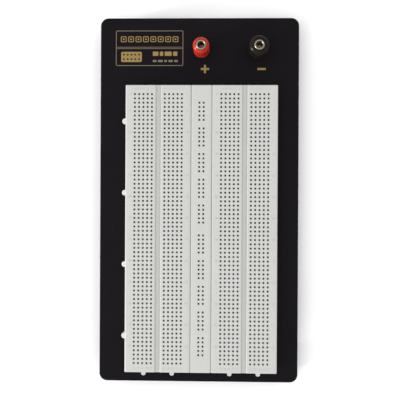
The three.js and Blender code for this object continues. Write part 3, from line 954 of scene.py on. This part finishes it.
def finger(side, along):
    """One spring finger: a strip of sheet metal bent along FINGER_PATH. `along` is its axis."""
    path = [Vector((side * across, up)) for across, up in FINGER_PATH]
    points, faces = [], []
    for i, here in enumerate(path):
        ahead = path[min(i + 1, len(path) - 1)] - path[max(i - 1, 0)]
        normal = Vector((ahead.y, -ahead.x)).normalized() * CLIP_METAL / 2
        for edge in (here - normal, here + normal):
            for run in (-FINGER_WIDTH / 2, FINGER_WIDTH / 2):
                points.append((run, edge.x, edge.y) if along == 0 else (edge.x, run, edge.y))
    last = len(points) - 4
    for a in range(0, last, 4):
        for b, c in ((0, 1), (1, 3), (3, 2), (2, 0)):
            faces.append((a + b, a + c, a + 4 + c, a + 4 + b))
    faces += [(0, 2, 3, 1), (last, last + 1, last + 3, last + 2)]
    return points, faces


def clip():
    """A five-point clip that runs along X: a base and five pairs of fingers."""
    half = CLIP_LENGTH / 2
    wide = CLIP_BASE_WIDTH / 2
    shapes = [block(-half, half, -wide, wide, CLIP_LIFT, CLIP_LIFT + CLIP_METAL)]
    for x in spread(BANK_COLUMNS, PITCH):
        shapes += [moved(finger(side, 0), x, 0) for side in (-1, 1)]
    return joined(shapes)


def show_contacts(node, shapes, origin):
    stand_for(node, merge_points(new_mesh(*joined(shapes)), 0), "spring_contact", origin)


def clip_banks():
    for side in ("left", "right"):
        x, y, z = strip_place(f"terminal_strip_{side}")["centre"]
        for bank, offset in bank_centres().items():
            clips = [moved(clip(), 0, row) for row in ROWS]
            show_contacts(f"clips_{side}_{bank}", clips, (x + offset, y, z))


def bus_rails():
    centre_y = strip_place("bus_strip")["centre"][1]
    rows = bus_rows()
    half = len(rows) // 2
    wide = CLIP_BASE_WIDTH / 2
    for node, upper in rail_nodes().items():
        low, high = box_mm(node)
        y0, y1 = low.y - centre_y, high.y - centre_y
        shapes = [block(-wide, wide, y0, y1, CLIP_LIFT, CLIP_LIFT + CLIP_METAL)]
        for row in rows[half:] if upper else rows[:half]:
            shapes += [moved(finger(side, 1), 0, row) for side in (-1, 1)]
        show_contacts(node, shapes, ((low.x + high.x) / 2, centre_y, low.z - CLIP_LIFT))


# ---- Base plate, feet and foam ----


def base_plate():
    outlines = [rounded_rectangle(PLATE_LOW[:2], PLATE_HIGH[:2], PLATE_CORNER)]
    for name in ("red_post", "black_post"):
        x, y = post_axis(name)
        outlines.append(circle(x, y, POST_HOLE))
    stand_for("base_plate", slab(outlines, PLATE_LOW.z, PLATE_TOP, PLATE_EDGE), "plate_paint")


def feet():
    for node in [n for n in frame["nodes"] if n.startswith("foot_")]:
        low, high = box_mm(node)
        height = high.z - low.z
        profile = [
            (0, FOOT_DIMPLE_DEPTH),
            (FOOT_DIMPLE, FOOT_DIMPLE_DEPTH, FOOT_DIMPLE_ROUND),
            (FOOT_DIMPLE, 0, FOOT_RIM_ROUND),
            (FOOT_BOTTOM, 0, FOOT_EDGE),
            (half_width(node), height, FOOT_TOP_ROUND),
            (0, height),
        ]
        mesh = spun(softened(profile, False), closed=False)
        centre = (low + high) / 2
        stand_for(node, mesh, "rubber", (centre.x, centre.y, low.z))


def divided(points, step):
    """The outline with extra points, no further apart than `step`."""
    made = []
    for start, end in zip(points, points[1:] + points[:1]):
        count = max(1, math.ceil(math.dist(start, end) / step))
        made += [tuple(Vector(start).lerp(Vector(end), i / count)) for i in range(count)]
    return made


def uneven(points, swing, waves):
    """An outline pushed in by up to `swing`, in waves, as a knife leaves foam."""
    centre = Vector([sum(p[i] for p in points) / len(points) for i in (0, 1)])
    made = []
    for i, point in enumerate(points):
        inward = (centre - Vector(point)).normalized()
        wave = 0.5 + 0.3 * math.sin(i * waves) + 0.2 * math.sin(i * waves * 2.7 + 1)
        made.append(tuple(Vector(point) + inward * swing * wave))
    return made


def foam_pads():
    for node in [n for n in frame["nodes"] if n.startswith("adhesive_pad_")]:
        low, high = box_mm(node)
        outline = divided(rounded_rectangle(low[:2], high[:2], PAD_CORNER, 3), PAD_POINT_STEP)
        mesh = slab([uneven(outline, PAD_SWING, PAD_WAVE)], low.z, high.z, PAD_EDGE)
        stand_for(node, mesh, "foam_tape")


# ---- Binding posts: local heights are above the plate's upper face ----


def post_axis(name):
    low, high = box_mm(f"{name}_knob")
    return (low.x + high.x) / 2, (low.y + high.y) / 2


def threaded(crest, bottom, top, pitch, depth):
    """How a thread changes a radius: crests at `crest`, fading out over its first and last turn."""
    def radius_at(radius, height, angle):
        if abs(radius - crest) > 1e-6 or not bottom < height < top:
            return radius
        fade = min(1.0, (height - bottom) / pitch, (top - height) / pitch)
        return radius - depth * fade * saw(height / pitch - angle / (2 * math.pi))
    return radius_at


def stud_mesh(bottom, top):
    flange = COLLAR_HEIGHT + SEAT_GAP
    shoulder = flange + STUD_FLANGE_HEIGHT
    tail_top = PLATE_LOW.z - PLATE_TOP
    floor = top - SOCKET_DEPTH
    chamfer = STUD_CHAMFER
    flange_edge = (STUD_FLANGE, flange, STUD_FLANGE_ROUND)
    shoulder_edge = (STUD_FLANGE, shoulder, STUD_FLANGE_ROUND)
    tail_rows = round((tail_top - bottom) / TAIL_PITCH * THREAD_ROWS)
    stud_rows = round((top - shoulder) / STUD_PITCH * THREAD_ROWS)
    profile = softened(
        [(0, bottom), (TAIL - chamfer, bottom)]
        + straight(TAIL, bottom + chamfer, tail_top, tail_rows)
        + [(TAIL, flange), flange_edge, shoulder_edge]
        + straight(STUD, shoulder, top - chamfer, stud_rows)
        + [(STUD - chamfer, top), (SOCKET + chamfer, top), (SOCKET, top - chamfer)]
        + [(SOCKET, floor), (0, floor - SOCKET_CONE)],
        False,
    )
    tail_thread = threaded(TAIL, bottom, tail_top, TAIL_PITCH, THREAD_DEPTH * TAIL_PITCH)
    stud_thread = threaded(STUD, shoulder, top, STUD_PITCH, THREAD_DEPTH)

    def radius_at(radius, height, angle):
        return stud_thread(tail_thread(radius, height, angle), height, angle)

    return spun(profile, STUD_SEGMENTS, False, radius_at)


def with_wire_hole(mesh):
    """The stud's mesh with a round hole through it along X."""
    reach = 2 * STUD
    profile = [(0, -reach), (WIRE_HOLE, -reach), (WIRE_HOLE, reach), (0, reach)]
    cutter_mesh = spun(profile, WIRE_HOLE_SEGMENTS, False)
    turn = Matrix.Rotation(math.pi / 2, 4, "Y")
    cutter_mesh.transform(Matrix.Translation((0, 0, WIRE_HOLE_HEIGHT)) @ turn)
    target, cutter = link("target", mesh), link("cutter", cutter_mesh)
    cut = target.modifiers.new("cut", "BOOLEAN")
    cut.operation = "DIFFERENCE"
    cut.solver = "EXACT"
    cut.object = cutter
    bpy.context.view_layer.update()
    graph = bpy.context.evaluated_depsgraph_get()
    made = bpy.data.meshes.new_from_object(target.evaluated_get(graph))
    for holder in (target, cutter):
        bpy.data.objects.remove(holder)
    return merge_points(made, SLIVER)


def knob_mesh(radius, bottom, top):
    flat = radius - KNOB_CHAMFER - KNOB_MOUTH
    shoulder = top - KNOB_CHAMFER
    inner = KNOB_CAVITY + FLUTE_WALL
    profile = softened(
        [
            (KNOB_CAVITY, bottom, KNOB_MOUTH_ROUND),
            (radius, bottom, KNOB_FOOT_ROUND),
            *straight(radius, shoulder - FLUTE_FADE, shoulder - FLUTE_TOP, FLUTE_ROWS),
            (radius, shoulder, KNOB_SHOULDER_ROUND),
            (radius - KNOB_CHAMFER, top, min(KNOB_TOP_ROUND, flat)),
            (KNOB_MOUTH, top, KNOB_MOUTH_ROUND),
            (KNOB_MOUTH, KNOB_CEILING),
            (KNOB_CAVITY, KNOB_CEILING),
        ],
        True,
    )

    def radius_at(here, height, angle):
        inwards = max(0.0, min(1.0, (here - inner) / (radius - inner)))
        upwards = max(0.0, min(1.0, (shoulder - height) / FLUTE_FADE))
        return here - inwards * upwards * FLUTE_DEPTH * (1 - math.cos(KNOB_FLUTES * angle)) / 2

    return spun(profile, 8 * KNOB_FLUTES, True, radius_at)


def insert_mesh(radius, bottom, top):
    bore_rows = round((top - bottom) / STUD_PITCH * THREAD_ROWS)
    bore_wall = straight(INSERT_BORE, top, bottom, bore_rows)
    wall = [(radius, bottom, INSERT_ROUND), (radius, top, INSERT_ROUND)]
    profile = softened([*bore_wall, *wall], True)
    bore = threaded(INSERT_BORE, bottom, top, STUD_PITCH, -THREAD_DEPTH)

    def radius_at(here, height, angle):
        if here < radius - KNURL_DEPTH:
            return bore(here, height, angle)
        return here - KNURL_DEPTH * saw(KNURL_RIDGES * angle / (2 * math.pi))

    return spun(profile, 4 * KNURL_RIDGES, True, radius_at)


def nut_mesh(bottom, top):
    """A hexagon nut with its corners turned off at both ends."""
    flat = NUT_FLATS / 2
    corner = flat / math.cos(math.pi / 6)
    face = flat * NUT_FACE
    mouth = TAIL_BORE + NUT_LEAD_IN
    profile = [(mouth, bottom), (face, bottom), (corner, bottom + NUT_CHAMFER)]
    profile += [(corner, top - NUT_CHAMFER), (face, top), (mouth, top)]
    profile += [(TAIL_BORE, top - NUT_LEAD_IN), (TAIL_BORE, bottom + NUT_LEAD_IN)]

    def radius_at(radius, height, angle):
        off = (angle + math.pi / 6) % (math.pi / 3) - math.pi / 6
        return min(radius, flat / math.cos(math.pi / 6 - abs(off)))

    return spun(profile, NUT_SEGMENTS, True, radius_at)


def ring_mesh(radius, bottom, top, soft):
    """A plain ring round the tail."""
    corners = [(TAIL_BORE, bottom, soft), (radius, bottom, soft)]
    corners += [(radius, top, soft), (TAIL_BORE, top, soft)]
    return spun(softened(corners, True))


def collar_mesh(radius):
    boss = PLATE_LOW.z - PLATE_TOP
    profile = [
        (COLLAR_BORE, boss),
        (COLLAR_BOSS, boss, COLLAR_BOSS_ROUND),
        (COLLAR_BOSS, SEAT_GAP),
        (radius, SEAT_GAP, COLLAR_FOOT_ROUND),
        (radius, COLLAR_HEIGHT, COLLAR_TOP_ROUND),
        (COLLAR_BORE, COLLAR_HEIGHT),
    ]
    return spun(softened(profile, True))


def lug_mesh(bottom, top, reach):
    """A flat eyelet with a round-ended tail of the given reach towards -Y."""
    half = LUG_HALF_WIDTH
    open_angle = math.asin(half / LUG_EYELET) / (math.pi / 2)
    eye_y = half - reach
    outline = arc(0, 0, LUG_EYELET, open_angle - 1, 3 - open_angle, 4 * ARC_STEPS)
    outline += arc(0, eye_y, half, 2, 4)
    holes = [circle(0, 0, TAIL_BORE), circle(0, eye_y, LUG_EYE)]
    return slab([outline, *holes], bottom, top, LUG_EDGE)


def binding_post(name, plastic):
    x, y = post_axis(name)

    def show(part, slot, mesh):
        stand_for(f"{name}_{part}", mesh, slot, (x, y, PLATE_TOP))

    def heights(part):
        low, high = box_mm(f"{name}_{part}")
        return low.z - PLATE_TOP, high.z - PLATE_TOP

    def radius(part):
        return half_width(f"{name}_{part}")

    show("stud", "nickel", with_wire_hole(stud_mesh(*heights("stud"))))
    show("collar", plastic, collar_mesh(radius("knob")))
    show("knob", plastic, knob_mesh(radius("knob"), *heights("knob")))
    show("knob_insert", "brass", insert_mesh(radius("knob_insert"), *heights("knob_insert")))
    show("bush", plastic, ring_mesh(radius("bush"), *heights("bush"), BUSH_ROUND))
    show("washer", "nickel", ring_mesh(radius("washer"), *heights("washer"), WASHER_ROUND))
    for part in ("nut", "lock_nut"):
        show(part, "nickel", nut_mesh(*heights(part)))
    reach = y - box_mm(f"{name}_lug")[0].y
    show("lug", "tinned_lug", lug_mesh(*heights("lug"), reach))


# ---- Gold print: a name frame with plain blocks in place of words, and a sign by each post ----


def bar(x, y, width, height, corner):
    return rounded_rectangle((x - width / 2, y - height / 2), (x + width / 2, y + height / 2), corner, 3)


def printed(name, outlines, ink=GOLD):
    mesh = slab(outlines, PLATE_TOP + PRINT_FLOAT, PLATE_TOP + PRINT_RISE)
    add_piece(name, mesh, ink, "board")


def panel_frame():
    line = PRINT_LINE
    outer = rounded_rectangle((PANEL_LEFT, PANEL_BOTTOM), (PANEL_RIGHT, PANEL_TOP), PANEL_CORNER, 4)
    inner_low = (PANEL_LEFT + line, PANEL_BOTTOM + line)
    inner_high = (PANEL_RIGHT - line, PANEL_TOP - line)
    inner = rounded_rectangle(inner_low, inner_high, PANEL_INNER_CORNER, 4)
    printed("print_frame", [outer, inner], PALE_GOLD)
    middle = (PANEL_LEFT + PANEL_RIGHT) / 2
    width = PANEL_RIGHT - PANEL_LEFT - 2 * (line + RULE_GAP)
    rules = [bar(middle, PANEL_DIVIDER + s * RULE_OFFSET, width, RULE_WIDTH, RULE_CORNER) for s in (-1, 1)]
    printed("print_divider", rules, PALE_GOLD)


def panel_blocks():
    """A line of plain square blocks, each with a dot, like a row of tie points."""
    middle = (PANEL_LEFT + PANEL_RIGHT) / 2
    y = (PANEL_TOP + PANEL_DIVIDER) / 2
    outlines = []
    for offset in spread(BLOCK_COUNT, BLOCK_STEP):
        x = middle + offset
        for size, corner in ((BLOCK_SIZE, BLOCK_CORNER), (BLOCK_INNER, BLOCK_INNER_CORNER)):
            outlines.append(bar(x, y, size, size, corner))
        outlines.append(circle(x, y, BLOCK_DOT, 16))
    printed("print_blocks", outlines)


def dashes(x, y, row):
    """A row of plain dashes from `x`, about a middle at `y`."""
    rise, height, lengths = row
    outlines = []
    for length in lengths:
        outlines.append(bar(x + length / 2, y + rise, length, height, DASH_CORNER))
        x += length + DASH_GAP
    return outlines


def panel_symbol():
    """A small board with holes, and two rows of plain dashes beside it."""
    x = PANEL_LEFT + SYMBOL_INDENT + SYMBOL_WIDTH / 2
    y = (PANEL_BOTTOM + PANEL_DIVIDER) / 2
    outlines = [bar(x, y, SYMBOL_WIDTH, SYMBOL_HEIGHT, SYMBOL_CORNER)]
    for offset in spread(SYMBOL_COLUMNS, SYMBOL_STEP):
        outlines += [circle(x + offset, y + side * SYMBOL_ROW, BLOCK_DOT, 16) for side in (-1, 1)]
    printed("print_symbol", outlines)
    start = (PANEL_LEFT + PANEL_RIGHT) / 2 + DASH_INDENT
    printed("print_dashes_upper", dashes(start, y, UPPER_DASHES))
    printed("print_dashes_lower", dashes(start, y, LOWER_DASHES), PALE_GOLD)


def post_signs():
    half, stroke = SIGN_SIZE / 2, SIGN_STROKE / 2
    x = post_axis("red_post")[0] + SIGN_SHIFT
    quarter = [(half, -stroke), (half, stroke), (stroke, stroke)]
    plus = []
    for _ in range(4):
        plus += [(x + px, SIGN_Y + py) for px, py in quarter]
        quarter = [(-py, px) for px, py in quarter]
    printed("print_plus", [plus])
    x = post_axis("black_post")[0] + SIGN_SHIFT
    printed("print_minus", [bar(x, SIGN_Y, SIGN_SIZE, SIGN_STROKE, SIGN_CORNER)])


# ---- Stage ----


def add_camera():
    data = bpy.data.cameras.new("camera")
    data.lens = CAMERA_LENS
    data.clip_end = 100.0
    camera = link("camera", data)
    world_to_camera = Matrix.Identity(4)
    for degrees, axis in ((CAMERA_ROLL, "Z"), (CAMERA_PAN, "Y"), (CAMERA_TILT, "X")):
        world_to_camera = world_to_camera @ Matrix.Rotation(math.radians(degrees), 4, axis)
    place = Matrix.Translation(Vector(CAMERA_PLACE) * MM)
    camera.matrix_world = place @ world_to_camera.transposed()
    bpy.context.scene.camera = camera


def add_floor():
    half = FLOOR_SIZE / 2
    corners = [(-half, -half, 0), (half, -half, 0), (half, half, 0), (-half, half, 0)]
    mesh = new_mesh(corners, [(0, 1, 2, 3)])
    mesh.materials.append(floor_paper().material)
    floor = link("floor", mesh)


def add_light(name, place, power, size, colour):
    """A soft square light, in metres and watts, that points at the board."""
    data = bpy.data.lights.new(name, "AREA")
    data.energy = power
    data.size = size
    data.color = colour
    light = link(name, data)
    light.location = place
    light.rotation_euler = (-Vector(place)).to_track_quat("-Z", "Y").to_euler()
    light.visible_camera = False


def add_world():
    world = bpy.data.worlds.new("studio")
    world.use_nodes = True
    background = world.node_tree.nodes["Background"]
    background.inputs["Color"].default_value = (1.0, 1.0, 1.0, 1.0)
    background.inputs["Strength"].default_value = WORLD_STRENGTH
    bpy.context.scene.world = world


add_camera()
add_floor()
add_world()
for light_name, light in LIGHTS.items():
    add_light(light_name, *light)
bpy.context.scene.view_settings.view_transform = "Standard"

base_plate()
feet()
foam_pads()
terminal_strip("left")
bus_strip()
terminal_strip("right")
clip_banks()
bus_rails()
binding_post("red_post", "red_plastic")
binding_post("black_post", "black_plastic")
panel_frame()
panel_blocks()
panel_symbol()
post_signs()
